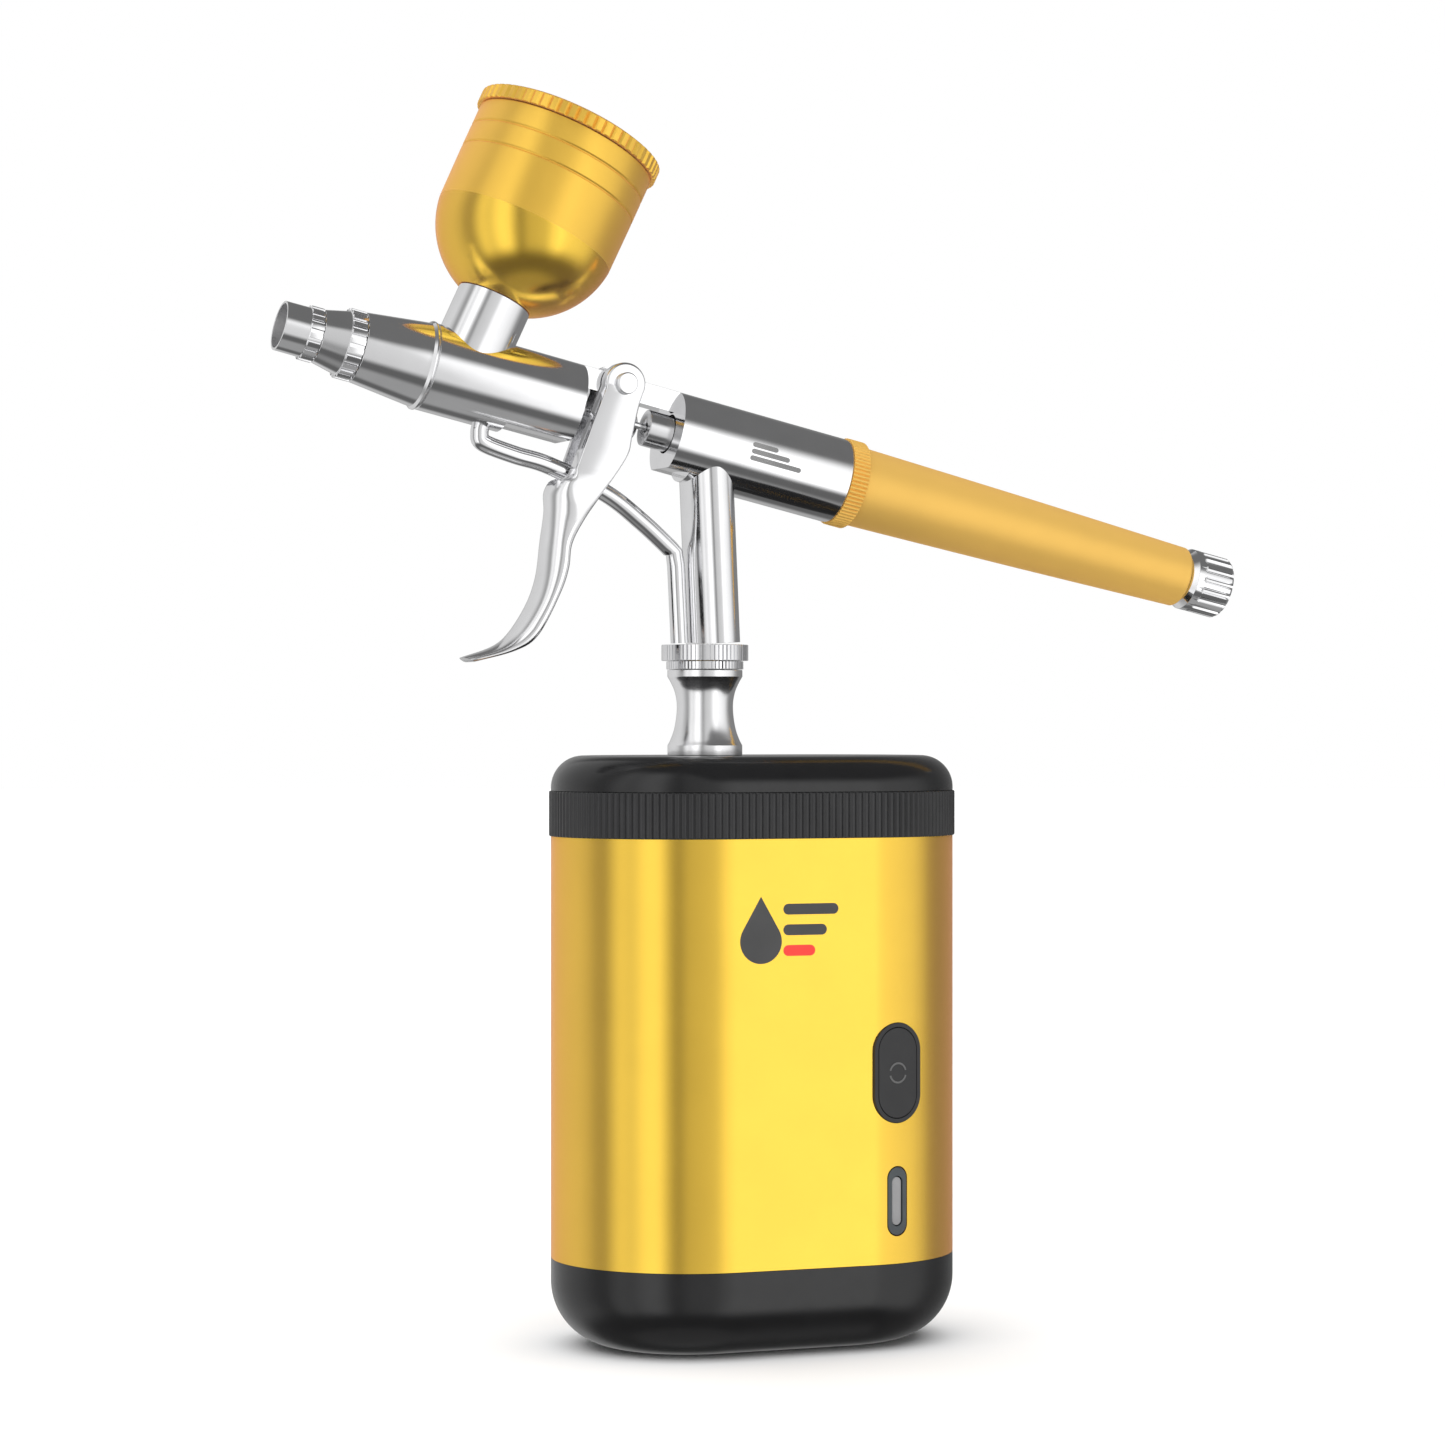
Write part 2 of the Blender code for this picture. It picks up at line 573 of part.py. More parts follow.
def make_spray_end():
    head = [
        (3.0, -46.8), (BARREL_R, -46.8), (7.95, -47.1), (7.5, -48.0), (6.2, -59.1), (3.0, -59.1),
    ]
    turned("spray_head", head, BARREL_AXIS, "chrome", hollow=True)
    cap = [
        (3.2, -59.4), (6.25, -59.4), (6.25, -63.0), (5.95, -63.4), (4.66, -66.4), (3.2, -66.4),
    ]
    turned("nozzle_cap", cap, BARREL_AXIS, "chrome", hollow=True)
    mouth = [
        (1.5, -66.7), (4.85, -66.7), (4.85, -69.5), (4.37, -69.5), (4.37, -73.3), (3.92, -73.3),
        (3.92, -68.2), (1.5, -68.2),
    ]
    turned("air_cap", mouth, BARREL_AXIS, "chrome", hollow=True)
    nozzle = [(0.8, -58.0), (2.7, -58.0), (2.7, -62.0), (1.15, -66.2), (1.15, -68.6), (0.8, -68.6)]
    turned("fluid_nozzle", nozzle, BARREL_AXIS, "brass", 20, hollow=True)


# ---------------------------------------------------------------- needle train


def make_needle_train():
    needle = [(0, 58.0), (NEEDLE_R, 58.0), (NEEDLE_R, -62.0), (0, -68.4)]
    turned("needle", needle, BARREL_AXIS, "steel", 10)
    seal = ring_profile(0.9, 2.0, -24.6, -19.4)
    turned("needle_packing", seal, BARREL_AXIS, "white_plastic", 14, hollow=True)
    slider = [
        (0.9, 45.0), (2.2, 45.0), (2.2, 7.0), (4.4, 7.0), (4.4, 5.0), (3.3, 5.0), (3.3, -4.3), (3.0, -4.6),
        (0.9, -4.6),
    ]
    turned("needle_slider", slider, BARREL_AXIS, "steel", 24, hollow=True)
    turned("valve_ring", ring_profile(3.6, 4.4, 3.4, 4.7), BARREL_AXIS, "rubber", 20, hollow=True)
    guide = [(2.5, 43.0), (4.4, 43.0), (4.4, 30.0), (2.5, 30.0)]
    turned("spring_guide", guide, BARREL_AXIS, "brass", 20, hollow=True)
    chuck = [(0.9, 52.0), (1.9, 52.0), (3.4, 50.8), (3.4, 45.6), (0.9, 45.6)]
    turned("needle_chuck", chuck, BARREL_AXIS, "steel", 16, hollow=True)
    make_needle_spring()


def make_needle_spring():
    turns = 6
    per_turn = 8
    low = 7.7
    high = 29.2
    radius = 3.4
    points = []
    for i in range(turns * per_turn + 1):
        share = i / (turns * per_turn)
        angle = 2 * math.pi * turns * share
        height = low + (high - low) * share
        points.append((radius * math.cos(angle), radius * math.sin(angle), height))
    tube("needle_spring", points, 0.35, BARREL_AXIS, "steel", 1)


def make_handle():
    outline = [
        (6.2, 33.5), (8.05, 33.5), (8.05, 36.7), (7.2, 36.9), (6.5, 71.0), (5.6, 105.0), (5.2, 105.4),
    ]
    bore = [(3.3, 105.4), (3.3, 97.0), (4.6, 95.0), (4.9, 42.0), (6.2, 41.5)]
    turned("handle", outline + bore, BARREL_AXIS, "satin_gold", hollow=True)
    knob = [
        (0, 114.3), (5.1, 114.3), (5.75, 113.6), (5.75, 106.8), (5.2, 106.2), (4.6, 105.7), (3.0, 105.7),
        (3.0, 88.0), (1.5, 88.0), (1.5, 62.0), (0, 62.0),
    ]
    turned("end_knob", knob, BARREL_AXIS, "chrome")


# ---------------------------------------------------------------- gravity cup


def make_cup():
    neck = ring_profile(THROAT_R, NECK_R, 0, NECK_HIGH - GAP / 2)
    neck = turned("cup_neck", neck, CUP, "chrome", hollow=True)
    saddle = turned_cutter("neck_saddle", rod_profile(BARREL_R + GAP, -80.0, 0.0), BARREL_AXIS)
    combine(neck, saddle, "DIFFERENCE")
    low = NECK_HIGH + GAP / 2
    start = math.degrees(math.asin((low - CUP_CENTRE) / CUP_R))
    outer = arc((0, CUP_CENTRE), CUP_R, start, 0, 6)
    inner = arc((0, CUP_CENTRE), CUP_R - 1.0, 0, -72, 5)
    profile = outer + [(CUP_R, CUP_RIM), (CUP_R - 1.0, CUP_RIM)] + inner + [(THROAT_R, low)]
    turned("cup", profile, CUP, "gold", hollow=True)
    lid = [
        (0.8, LID_HIGH), (15.6, LID_HIGH), (LID_R, LID_HIGH - 0.9), (LID_R, LID_LOW), (CUP_R - 1.3, LID_LOW),
        (CUP_R - 1.3, LID_LOW - 3.0), (CUP_R - 2.2, LID_LOW - 3.0), (CUP_R - 2.2, LID_LOW + 1.6),
        (0.8, LID_LOW + 1.6),
    ]
    turned("cup_lid", lid, CUP, "gold", hollow=True)


make_bottom_cap()
make_foot_pad()
make_case_screws()
make_shell()
make_ribbed_band()
make_top_cap()
make_controls()
make_chassis()
make_battery()
make_motor()
make_wobble_plate()
make_pump()
make_outlet()
make_gun_body()
make_stem()
make_air_pipe()
make_trigger()
make_spray_end()
make_needle_train()
make_handle()
make_cup()
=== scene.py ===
"""Looks of a cordless airbrush: fine meshes, materials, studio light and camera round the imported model.

Sizes are in millimetres. Each profile is a list of (radius, height) points in its part's own
frame, whose Z axis is the axis that the part was turned about; the frames come from the joints.
"""

import json
import math

import bmesh
import bpy
from mathutils import Matrix, Vector

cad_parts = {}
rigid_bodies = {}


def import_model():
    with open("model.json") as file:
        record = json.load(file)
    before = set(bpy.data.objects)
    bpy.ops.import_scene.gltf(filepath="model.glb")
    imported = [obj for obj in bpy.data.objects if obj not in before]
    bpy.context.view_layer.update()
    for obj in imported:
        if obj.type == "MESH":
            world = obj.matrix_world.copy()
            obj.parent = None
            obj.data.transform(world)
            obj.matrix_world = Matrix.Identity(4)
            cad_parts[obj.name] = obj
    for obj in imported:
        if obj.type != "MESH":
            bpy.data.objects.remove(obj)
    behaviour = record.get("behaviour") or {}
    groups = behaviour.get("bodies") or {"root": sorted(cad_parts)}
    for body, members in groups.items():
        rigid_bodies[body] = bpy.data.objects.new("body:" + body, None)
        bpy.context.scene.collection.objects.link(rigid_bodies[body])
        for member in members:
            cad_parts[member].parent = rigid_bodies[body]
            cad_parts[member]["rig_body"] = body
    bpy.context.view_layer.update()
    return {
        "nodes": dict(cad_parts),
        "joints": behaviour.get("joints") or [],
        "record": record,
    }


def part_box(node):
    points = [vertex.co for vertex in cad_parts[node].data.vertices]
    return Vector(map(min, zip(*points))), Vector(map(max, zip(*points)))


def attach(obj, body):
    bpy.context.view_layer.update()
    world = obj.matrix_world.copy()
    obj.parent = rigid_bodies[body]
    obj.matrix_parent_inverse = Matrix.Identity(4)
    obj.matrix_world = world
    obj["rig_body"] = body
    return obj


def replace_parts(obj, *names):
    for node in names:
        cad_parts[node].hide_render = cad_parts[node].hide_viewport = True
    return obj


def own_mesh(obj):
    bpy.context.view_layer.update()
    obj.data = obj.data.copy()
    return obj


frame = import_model()

MM = 0.001
ROUND_PIECES = 4
TURN_STEPS = 144
OBLONG_STEPS = 420
SHARP_ANGLE = math.radians(38)
JOINTS = {joint["name"]: joint for joint in frame["joints"]}
SLOTS = {part["node"]: part["material_slot"] for part in frame["record"]["subparts"]}


# ---------------------------------------------------------------- frames and sizes from the model


def upright_frame(origin, axis, across):
    """A frame with Z along the axis, Y across it, and its origin given in metres."""
    z = Vector(axis).normalized()
    y = Vector(across)
    turn = Matrix((y.cross(z), y, z)).transposed()
    return Matrix.Translation(origin) @ turn.to_4x4()


def joint_frame(name):
    return upright_frame(JOINTS[name]["pos_m"], JOINTS[name]["axis"], (0, 1, 0))


def span(node, place):
    """Lowest and highest station of a CAD node along a frame's Z axis, and its widest radius, in mm."""
    points = [place.inverted() @ vert.co / MM for vert in frame["nodes"][node].data.vertices]
    heights = [point.z for point in points]
    return min(heights), max(heights), max(math.hypot(point.x, point.y) for point in points)


LOW_CORNER, HIGH_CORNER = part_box("shell")
END_R = HIGH_CORNER.y / MM
HALF_STRAIGHT = HIGH_CORNER.x / MM - END_R
SHELL_LOW = LOW_CORNER.z / MM - 0.15
SHELL_HIGH = HIGH_CORNER.z / MM + 0.15
BAND_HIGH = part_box("ribbed_band")[1].z / MM + 0.15
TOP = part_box("top_cap")[1].z / MM
SKIN_R = END_R - 1.6
BUTTON_Z = (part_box("power_button")[0].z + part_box("power_button")[1].z) / 2 / MM
PORT_Z = (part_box("port_frame")[0].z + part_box("port_frame")[1].z) / 2 / MM

BARREL = joint_frame("handle_turn")
BARREL_SIDE = BARREL @ Matrix(((0, -1, 0), (0, 0, -1), (1, 0, 0))).to_4x4()
BARREL_R = 7.75
CUP = joint_frame("cup_turn")
OUTLET = Matrix.Translation((JOINTS["coupling_nut_turn"]["pos_m"][0], 0, 0))
INWARD = Vector(JOINTS["button_press"]["axis"])
FRONT_PLATE = upright_frame((HALF_STRAIGHT * MM, 0, 0), -INWARD, (0, 0, 1))
STEM = Matrix.Translation((-7.75 * MM, 0, 125.2 * MM)) @ Matrix.Rotation(math.radians(-2.5), 4, "Y")
STEM_R = 4.57
STEM_DEPTH = 1.42
SOLDER_DEPTH = 0.2


# ---------------------------------------------------------------- meshes


def arc(centre, radius, start, end, pieces):
    """Points on an arc, angles in degrees from the first axis."""
    points = []
    for i in range(pieces + 1):
        angle = math.radians(start + (end - start) * i / pieces)
        points.append((centre[0] + radius * math.cos(angle), centre[1] + radius * math.sin(angle)))
    return points


def rounded(profile, radius, closed):
    """Cuts each sharp corner of an outline back to a small curve."""
    points = [Vector(point) for point in profile]
    result = []
    for i, corner in enumerate(points):
        before = points[i - 1] - corner
        after = points[(i + 1) % len(points)] - corner
        turn = math.pi - before.angle(after)
        if turn < 0.3 or (not closed and i in (0, len(points) - 1)):
            result.append(corner)
            continue
        cut = min(radius * math.tan(turn / 2), 0.4 * before.length, 0.4 * after.length)
        start = corner + before.normalized() * cut
        end = corner + after.normalized() * cut
        for step in range(ROUND_PIECES + 1):
            share = step / ROUND_PIECES
            result.append(start.lerp(corner, share).lerp(corner.lerp(end, share), share))
    return result


def smooth_route(corners, pieces):
    """Points of a Catmull-Rom curve through the corners."""
    corners = [Vector(corner) for corner in corners]
    ends = [corners[0] * 2 - corners[1]] + corners + [corners[-1] * 2 - corners[-2]]
    route = []
    for a, b, c, d in zip(ends, ends[1:], ends[2:], ends[3:]):
        for i in range(pieces):
            t = i / pieces
            bend = 2 * b + (c - a) * t + (2 * a - 5 * b + 4 * c - d) * t**2
            route.append((bend + (3 * b - a - 3 * c + d) * t**3) / 2)
    return route + [corners[-1]]


def round_plan(steps=TURN_STEPS):
    """Centre, outward direction and share of the turn at each step round a circle."""
    plan = []
    for i in range(steps):
        angle = math.tau * i / steps
        plan.append((Vector((0, 0)), Vector((math.cos(angle), math.sin(angle))), i / steps))
    return plan


def oblong_plan(half, radius, steps):
    """The same round an oblong that is straight along X for twice its half."""
    bend = math.pi * radius
    total = 2 * (bend + 2 * half)
    plan = []
    for i in range(steps):
        run = total * i / steps
        side = 1
        if run >= total / 2:
            run -= total / 2
            side = -1
        angle = -math.pi / 2 + min(run, bend) / radius
        slide = half - max(run - bend, 0)
        out = Vector((math.cos(angle), math.sin(angle))) * side
        plan.append((Vector((slide, 0)) * side, out, i / steps))
    return plan


def finished(bm, name):
    bmesh.ops.remove_doubles(bm, verts=bm.verts, dist=0.000001)
    bmesh.ops.recalc_face_normals(bm, faces=bm.faces)
    mesh = bpy.data.meshes.new(name)
    bm.to_mesh(mesh)
    bm.free()
    mesh.shade_smooth()
    mesh.set_sharp_from_angle(angle=SHARP_ANGLE)
    return mesh


def swept(name, profile, plan, closed=False, limit=None):
    """Carries a profile round a plan; limit(share, height) is the widest radius left by its grooves."""
    bm = bmesh.new()
    rows = []
    for radius, height in profile:
        row = []
        for centre, out, share in plan:
            reach = min(radius, limit(share, height)) if limit else radius
            place = centre + out * reach
            row.append(bm.verts.new((place.x * MM, place.y * MM, height * MM)))
        rows.append(row)
    for upper, lower in zip(rows, rows[1:] + rows[:1] if closed else rows[1:]):
        for i in range(len(plan)):
            bm.faces.new((upper[i - 1], upper[i], lower[i], lower[i - 1]))
    bmesh.ops.remove_doubles(bm, verts=bm.verts, dist=0.000001)
    rims = [edge for edge in bm.edges if edge.is_boundary]
    if rims:
        bmesh.ops.holes_fill(bm, edges=rims, sides=0)
    return finished(bm, name)


def grooves(count, outer, depth, width, ramp):
    """A groove limit: width is a share of the pitch, and ramp the share that each wall takes."""

    def limit(share, _height):
        off_centre = abs((share * count) % 1.0 - 0.5)
        sunk = min(max((width / 2 - off_centre) / ramp, 0.0), 1.0)
        return outer - depth * sunk

    return limit


def tooth_steps(count, samples=8):
    return count * samples


def prism(name, outline, low, high):
    """A straight-sided block on a flat outline."""
    bm = bmesh.new()
    lower = bm.faces.new([bm.verts.new((x * MM, y * MM, low * MM)) for x, y in outline])
    upper = bmesh.ops.extrude_face_region(bm, geom=[lower])["geom"]
    verts = [item for item in upper if isinstance(item, bmesh.types.BMVert)]
    bmesh.ops.translate(bm, verts=verts, vec=(0, 0, (high - low) * MM))
    return finished(bm, name)


def block(name, low, high):
    outline = [(low[0], low[1]), (high[0], low[1]), (high[0], high[1]), (low[0], high[1])]
    return prism(name, outline, low[2], high[2])


def stadium(width, height, pieces=24):
    """An upright oval with straight sides, centred on the origin."""
    radius = width / 2
    reach = height / 2 - radius
    return arc((0, reach), radius, 0, 180, pieces) + arc((0, -reach), radius, 180, 360, pieces)


def moved(outline, dx, dy):
    return [(x + dx, y + dy) for x, y in outline]


def joined(name, mesh, place, others, operation="DIFFERENCE"):
    """The mesh after Booleans with (mesh, frame) helpers, in its own frame."""
    base = bpy.data.objects.new(name, mesh)
    base.matrix_world = place
    helpers = []
    for other, other_place in others:
        helper = bpy.data.objects.new(name + "_helper", other)
        helper.matrix_world = other_place
        modifier = base.modifiers.new("boolean", "BOOLEAN")
        modifier.operation = operation
        modifier.object = helper
        helpers.append(helper)
    for obj in [base, *helpers]:
        bpy.context.scene.collection.objects.link(obj)
    bpy.context.view_layer.update()
    result = bpy.data.meshes.new_from_object(base.evaluated_get(bpy.context.evaluated_depsgraph_get()))
    for obj in [base, *helpers]:
        bpy.data.objects.remove(obj)
    result.shade_smooth()
    result.set_sharp_from_angle(angle=SHARP_ANGLE)
    return result


def tube_mesh(name, points, radius, sides=24):
    """A round bar along a chain of points, with flat ends."""
    bm = bmesh.new()
    rings = []
    for i, point in enumerate(points):
        along = (points[min(i + 1, len(points) - 1)] - points[max(i - 1, 0)]).normalized()
        level = Vector((0, 1, 0)) if abs(along.y) < 0.9 else Vector((0, 0, 1))
        side = along.cross(level).normalized()
        ring = []
        for k in range(sides):
            angle = math.tau * k / sides
            place = point + (side * math.cos(angle) + level * math.sin(angle)) * radius
            ring.append(bm.verts.new(place * MM))
        rings.append(ring)
    for near, far in zip(rings, rings[1:]):
        for k in range(sides):
            bm.faces.new((near[k - 1], near[k], far[k], far[k - 1]))
    bm.faces.new(rings[0])
    bm.faces.new(rings[-1])
    return finished(bm, name)


# ---------------------------------------------------------------- materials


class Finish:
    """A Principled material whose nodes are added one property at a time."""

    def __init__(self, name, metallic, roughness, tint=None):
        self.material = bpy.data.materials.new(name)
        self.material.use_nodes = True
        self.nodes = self.material.node_tree.nodes
        self.links = self.material.node_tree.links
        self.shader = self.nodes["Principled BSDF"]
        self.shader.inputs["Metallic"].default_value = metallic
        self.shader.inputs["Roughness"].default_value = roughness
        if tint:
            self.shader.inputs["Specular Tint"].default_value = (*tint, 1.0)
        self.place = self.nodes.new("ShaderNodeTexCoord").outputs["Object"]

    def noise(self, scale, detail=2.0, stretch=(1, 1, 1)):
        """Noise of a given scale per metre, stretched along the piece's own axes."""
        mapping = self.nodes.new("ShaderNodeMapping")
        mapping.inputs["Scale"].default_value = stretch
        self.links.new(self.place, mapping.inputs["Vector"])
        texture = self.nodes.new("ShaderNodeTexNoise")
        texture.inputs["Scale"].default_value = scale
        texture.inputs["Detail"].default_value = detail
        self.links.new(mapping.outputs["Vector"], texture.inputs["Vector"])
        return texture.outputs["Fac"]

    def colour(self, first, second, source):
        """Wanders between two colours with the noise."""
        ramp = self.nodes.new("ShaderNodeValToRGB")
        ramp.color_ramp.elements[0].position = 0.35
        ramp.color_ramp.elements[0].color = (*first, 1.0)
        ramp.color_ramp.elements[1].position = 0.65
        ramp.color_ramp.elements[1].color = (*second, 1.0)
        self.links.new(source, ramp.inputs["Fac"])
        self.links.new(ramp.outputs["Color"], self.shader.inputs["Base Color"])
        return self

    def rough(self, low, high, source):
        spread = self.nodes.new("ShaderNodeMapRange")
        spread.inputs["From Min"].default_value = 0.3
        spread.inputs["From Max"].default_value = 0.7
        spread.inputs["To Min"].default_value = low
        spread.inputs["To Max"].default_value = high
        self.links.new(source, spread.inputs["Value"])
        self.links.new(spread.outputs["Result"], self.shader.inputs["Roughness"])
        return self

    def bump(self, depth_mm, source, strength=1.0):
        bump = self.nodes.new("ShaderNodeBump")
        bump.inputs["Strength"].default_value = strength
        bump.inputs["Distance"].default_value = depth_mm * MM
        self.links.new(source, bump.inputs["Height"])
        self.links.new(bump.outputs["Normal"], self.shader.inputs["Normal"])
        return self


GOLD_TINT = (1.0, 0.72, 0.5)
GOLD_SHEEN = (1.0, 0.5, 0.3)
ROUND_THE_AXIS = (1, 1, 60)


def gold(name, low, high, metallic=1.0, colour=(0.97, 0.64, 0.08), sheen=0.5):
    """Gold anodising: even colour, faint turning lines, and a warm bloom where it is seen aslant."""
    finish = Finish(name, metallic, high, GOLD_TINT)
    finish.shader.inputs["Sheen Weight"].default_value = sheen
    finish.shader.inputs["Sheen Roughness"].default_value = 0.6
    finish.shader.inputs["Sheen Tint"].default_value = (*GOLD_SHEEN, 1.0)
    deeper = tuple(0.97 * value for value in colour)
    finish.colour(deeper, colour, finish.noise(90))
    finish.rough(low, high, finish.noise(2500, 4))
    return finish.bump(0.0004, finish.noise(60, 2, ROUND_THE_AXIS)).material


def plated(name, colour, low, high):
    """Plate or bare metal: polished, with fine turning lines and faint cloudy patches."""
    finish = Finish(name, 1.0, high)
    dimmer = tuple(0.95 * value for value in colour)
    finish.colour(dimmer, colour, finish.noise(150, 3))
    finish.rough(low, high, finish.noise(400, 5))
    return finish.bump(0.0004, finish.noise(60, 2, ROUND_THE_AXIS)).material


def moulded(name, colour, low, high, grain=0.002):
    """Moulded plastic or rubber: a fine grain and a little unevenness in its gloss."""
    finish = Finish(name, 0.0, high)
    lighter = tuple(1.25 * value for value in colour)
    finish.colour(colour, lighter, finish.noise(120, 3))
    finish.rough(low, high, finish.noise(500, 4))
    return finish.bump(grain, finish.noise(2500, 3)).material


def board_finish():
    """Green solder mask with darker tracks below it."""
    finish = Finish("board_look", 0.0, 0.4)
    finish.colour((0.01, 0.10, 0.03), (0.03, 0.22, 0.08), finish.noise(300, 0, (1, 1, 0.2)))
    return finish.rough(0.3, 0.5, finish.noise(400)).material


LOOKS = {
    "gold_gloss": gold("gold_gloss_look", 0.19, 0.22),
    "gold_satin": gold("gold_satin_look", 0.5, 0.54, 0.55, (0.96, 0.6, 0.14), 0.2),
    "chrome": plated("chrome_look", (0.95, 0.95, 0.96), 0.09, 0.12),
    "steel": plated("steel_look", (0.82, 0.82, 0.83), 0.16, 0.22),
    "brass": plated("brass_look", (0.80, 0.60, 0.28), 0.15, 0.25),
    "gloss_black": moulded("gloss_black_look", (0.008, 0.008, 0.0085), 0.16, 0.22, 0.0006),
    "satin_black": moulded("satin_black_look", (0.016, 0.016, 0.017), 0.34, 0.42, 0.001),
    "grey_plastic": moulded("grey_plastic_look", (0.05, 0.06, 0.066), 0.35, 0.45, 0.001),
    "white_plastic": moulded("white_plastic_look", (0.7, 0.7, 0.67), 0.35, 0.45),
    "rubber": moulded("rubber_look", (0.02, 0.02, 0.02), 0.75, 0.9, 0.004),
    "cell_sleeve": moulded("cell_sleeve_look", (0.03, 0.12, 0.4), 0.2, 0.3),
    "board_green": board_finish(),
}
CUP_SATIN = gold("cup_satin_look", 0.3, 0.34, 0.8, (0.95, 0.6, 0.085))
TRIGGER_CHROME = plated("trigger_look", (0.97, 0.97, 0.98), 0.13, 0.17)
COUPLING_CHROME = plated("coupling_look", (0.97, 0.97, 0.98), 0.17, 0.21)
TONGUE_GREY = moulded("tongue_look", (0.27, 0.27, 0.275), 0.4, 0.5, 0.0005)
BORE_GREY = plated("bore_look", (0.8, 0.8, 0.81), 0.45, 0.55)
INK_DARK = moulded("ink_dark_look", (0.045, 0.045, 0.046), 0.4, 0.5, 0.0003)
INK_RED = moulded("ink_red_look", (0.75, 0.035, 0.025), 0.4, 0.5, 0.0003)
ENGRAVED_GREY = moulded("barrel_ink_look", (0.2, 0.2, 0.2), 0.4, 0.5, 0.0003)
ENGRAVED = moulded("engraved_look", (0.1, 0.1, 0.1), 0.4, 0.5, 0.0003)


def finish_nodes():
    """Every node that stays on show gets the look of its own material slot."""
    for name, node in frame["nodes"].items():
        node.data.materials.clear()
        node.data.materials.append(LOOKS[SLOTS[name]])


# ---------------------------------------------------------------- pieces


def add_piece(name, mesh, place, body, material):
    piece = bpy.data.objects.new(name, mesh)
    bpy.context.scene.collection.objects.link(piece)
    piece.matrix_world = place
    piece.data.materials.clear()
    piece.data.materials.append(material)
    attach(piece, body)
    return piece


def stand_in(node, mesh, place, material=None):
    """A fine piece that replaces one CAD node, on that node's body, with the look of that node's material
    slot unless another material is given.
    """
    body = frame["nodes"][node]["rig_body"]
    piece = add_piece("fine_" + node, mesh, place, body, material or LOOKS[SLOTS[node]])
    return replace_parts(piece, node)


def turned_piece(
    node, profile, place, closed=True, edge=0.12, limit=None, steps=TURN_STEPS, material=None
):
    mesh = swept(node, rounded(profile, edge, closed), round_plan(steps), closed, limit)
    return stand_in(node, mesh, place, material)


def windows():
    """The cutters for the button's and the port's openings in the shell."""
    cutters = []
    for width, height, middle in ((10.0, 17.8, BUTTON_Z), (4.3, 12.4, PORT_Z)):
        outline = moved(stadium(width, height), 0, middle)
        cutters.append((prism("window", outline, SKIN_R - 3, END_R + 3), FRONT_PLATE))
    return cutters


def make_casing():
    plan = oblong_plan(HALF_STRAIGHT, END_R, OBLONG_STEPS)
    home = Matrix()
    pad_r = 9.8
    base_bend = 11.5
    top_bend = 5.7
    low = [(6.0, 3.1), (pad_r, 3.1), (pad_r, 0.1)]
    low += arc((END_R - base_bend, 0.1 + base_bend), base_bend, -90, 0, 28)
    low += [(END_R, SHELL_LOW), (SKIN_R, SHELL_LOW), (SKIN_R, 11.0), (14.0, 4.8), (6.0, 4.8)]
    stand_in("bottom_cap", swept("bottom_cap", rounded(low, 0.15, False), plan), home)
    skin = [(SKIN_R, SHELL_LOW), (END_R, SHELL_LOW), (END_R, SHELL_HIGH), (SKIN_R, SHELL_HIGH)]
    skin = swept("shell", skin, plan, True)
    stand_in("shell", joined("shell", skin, home, windows()), home)
    cap = [(6.0, 102.9), (SKIN_R - 1.0, 100.0), (SKIN_R, BAND_HIGH), (END_R, BAND_HIGH)]
    cap += arc((END_R - top_bend, TOP - top_bend), top_bend, 0, 90, 20) + [(6.0, TOP)]
    stand_in("top_cap", swept("top_cap", rounded(cap, 0.15, False), plan), home)


def make_ribbed_band():
    outer = END_R + 0.35
    ribs = 164
    plan = oblong_plan(HALF_STRAIGHT, outer, tooth_steps(ribs))
    profile = [(SKIN_R, SHELL_HIGH), (outer, SHELL_HIGH), (outer, BAND_HIGH), (SKIN_R, BAND_HIGH)]
    limit = grooves(ribs, outer, 0.32, 0.56, 0.2)
    stand_in("ribbed_band", swept("ribbed_band", rounded(profile, 0.3, True), plan, True, limit), Matrix())


def make_controls():
    """The button in its bezel, its ring sign, and the charging port."""
    upright = FRONT_PLATE @ Matrix.Translation((0, BUTTON_Z * MM, 0)) @ Matrix.Rotation(math.pi / 2, 4, "Z")
    face = 24.35
    plan = oblong_plan(3.9, 4.5, 160)
    bezel = rounded([(4.15, 22.4), (4.93, 22.4), (4.93, face), (4.15, face)], 0.1, True)
    stand_in("button_bezel", swept("button_bezel", bezel, plan, True), upright)
    cap = rounded([(0, face), (4.06, face), (4.06, 22.4), (0, 22.4)], 0.1, False)
    stand_in("power_button", swept("power_button", cap, plan), upright)
    make_ring_sign(face)
    port = FRONT_PLATE @ Matrix.Translation((0, PORT_Z * MM, 0))
    frame_mesh = prism("port_frame", stadium(3.9, 11.9), 22.9, 24.15)
    hole = prism("port_hole", stadium(2.3, 8.9), 22.0, 25.0)
    stand_in("port_frame", joined("port_frame", frame_mesh, port, [(hole, port)]), port)
    socket = [(0, 19.0), (1.63, 19.0), (1.63, 22.6), (1.3, 22.6), (1.3, 19.5), (0, 19.5)]
    port_upright = port @ Matrix.Rotation(math.pi / 2, 4, "Z")
    socket = swept("usb_socket", rounded(socket, 0.08, False), oblong_plan(2.84, 1.63, 96))
    stand_in("usb_socket", socket, port_upright)
    tongue = [(0, 23.95), (1.0, 23.95), (1.0, 19.5), (0, 19.5)]
    tongue = swept("usb_tongue", rounded(tongue, 0.15, False), oblong_plan(3.3, 1.0, 96))
    stand_in("usb_tongue", tongue, port_upright, TONGUE_GREY)


